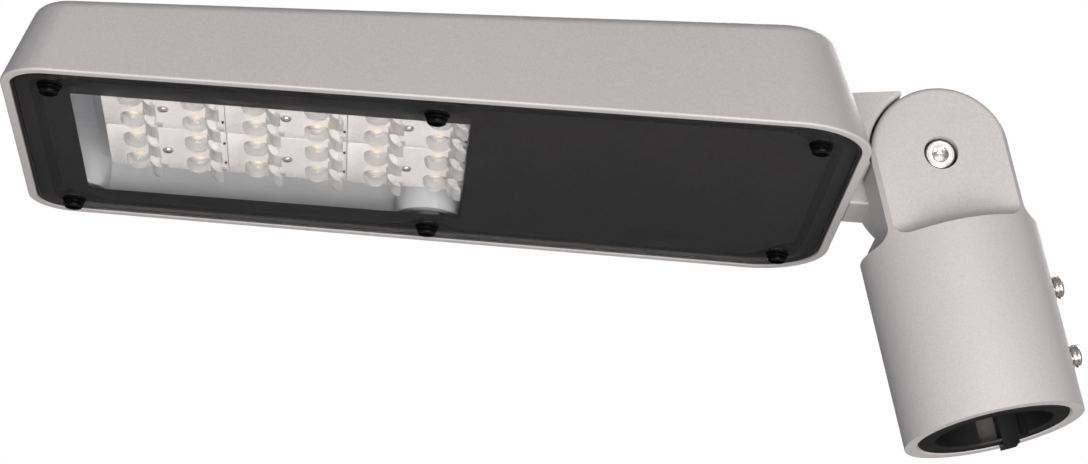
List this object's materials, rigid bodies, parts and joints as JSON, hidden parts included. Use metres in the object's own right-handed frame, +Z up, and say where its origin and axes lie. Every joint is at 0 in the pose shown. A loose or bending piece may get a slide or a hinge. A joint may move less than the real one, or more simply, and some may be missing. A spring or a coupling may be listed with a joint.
{
  "type": "street lamp head",
  "caption": "LED street lamp head: a flat grey cast housing with a glass cover, tilting on a half-lap hinge above a round pole socket.",
  "frame": {"origin": "centre of the pole socket's mouth", "axes": "+Z up the pole through the hinge; the lamp reaches towards -X with its tip 15 degrees up; the hinge axis is parallel to Y"},
  "size_m": [0.4129, 0.187, 0.2263],
  "materials": {
    "grey_coat": "fine textured powder coat, satin",
    "black_plastic": "moulded, matt",
    "stainless": "machined stainless steel",
    "zinc_steel": "bright plated",
    "black_rubber": "matt",
    "seal_rubber": "matt silicone",
    "cover_glass": "clear toughened glass with a black enamel border",
    "black_screw": "glossy black",
    "bare_aluminium": "milled",
    "white_board": "white solder resist",
    "clear_lens": "clear moulded acrylic",
    "led_yellow": "phosphor under silicone",
    "driver_case": "satin",
    "white_plastic": "moulded",
    "brass": "machined"
  },
  "bodies": {
    "spigot": {"spigot": "grey_coat", "pole_sleeve": "black_plastic", "tilt_bolt": "stainless", "tilt_nut": "stainless", "bolt_washer": "stainless", "nut_washer": "stainless", "friction_ring": "black_plastic"},
    "head": {"housing": "grey_coat", "tilt_bracket": "grey_coat", "bracket_gasket": "black_rubber", "bracket_screws": "zinc_steel", "cable_grommet": "black_rubber", "breather_vent": "black_plastic", "cover_glass": "cover_glass", "cover_seal": "seal_rubber", "cover_screws": "black_screw", "led_plate": "bare_aluminium", "led_board_1": "white_board", "led_board_2": "white_board", "led_board_3": "white_board", "led_board_4": "white_board", "led_board_5": "white_board", "led_board_6": "white_board", "lens_array_1": "clear_lens", "lens_array_2": "clear_lens", "lens_array_3": "clear_lens", "lens_array_4": "clear_lens", "lens_array_5": "clear_lens", "lens_array_6": "clear_lens", "led_chips": "led_yellow", "module_screws": "zinc_steel", "driver": "driver_case", "driver_screws": "zinc_steel", "terminal_block": "white_plastic", "terminal_screw": "zinc_steel", "earth_screw": "brass"},
    "grub_upper": {"grub_screw_upper": "stainless"},
    "grub_lower": {"grub_screw_lower": "stainless"}
  },
  "joints": [
    {"name": "head_tilt", "type": "hinge", "parent": "spigot", "child": "head", "pos_m": [0, 0, 0.1125], "axis": [0, 1, 0], "range_deg": [-15, 75]},
    {"name": "grub_upper_travel", "type": "slide", "parent": "spigot", "child": "grub_upper", "axis": [-1, 0, 0], "range_m": [-0.002, 0.0045]},
    {"name": "grub_lower_travel", "type": "slide", "parent": "spigot", "child": "grub_lower", "axis": [-1, 0, 0], "range_m": [-0.002, 0.0045]}
  ]
}
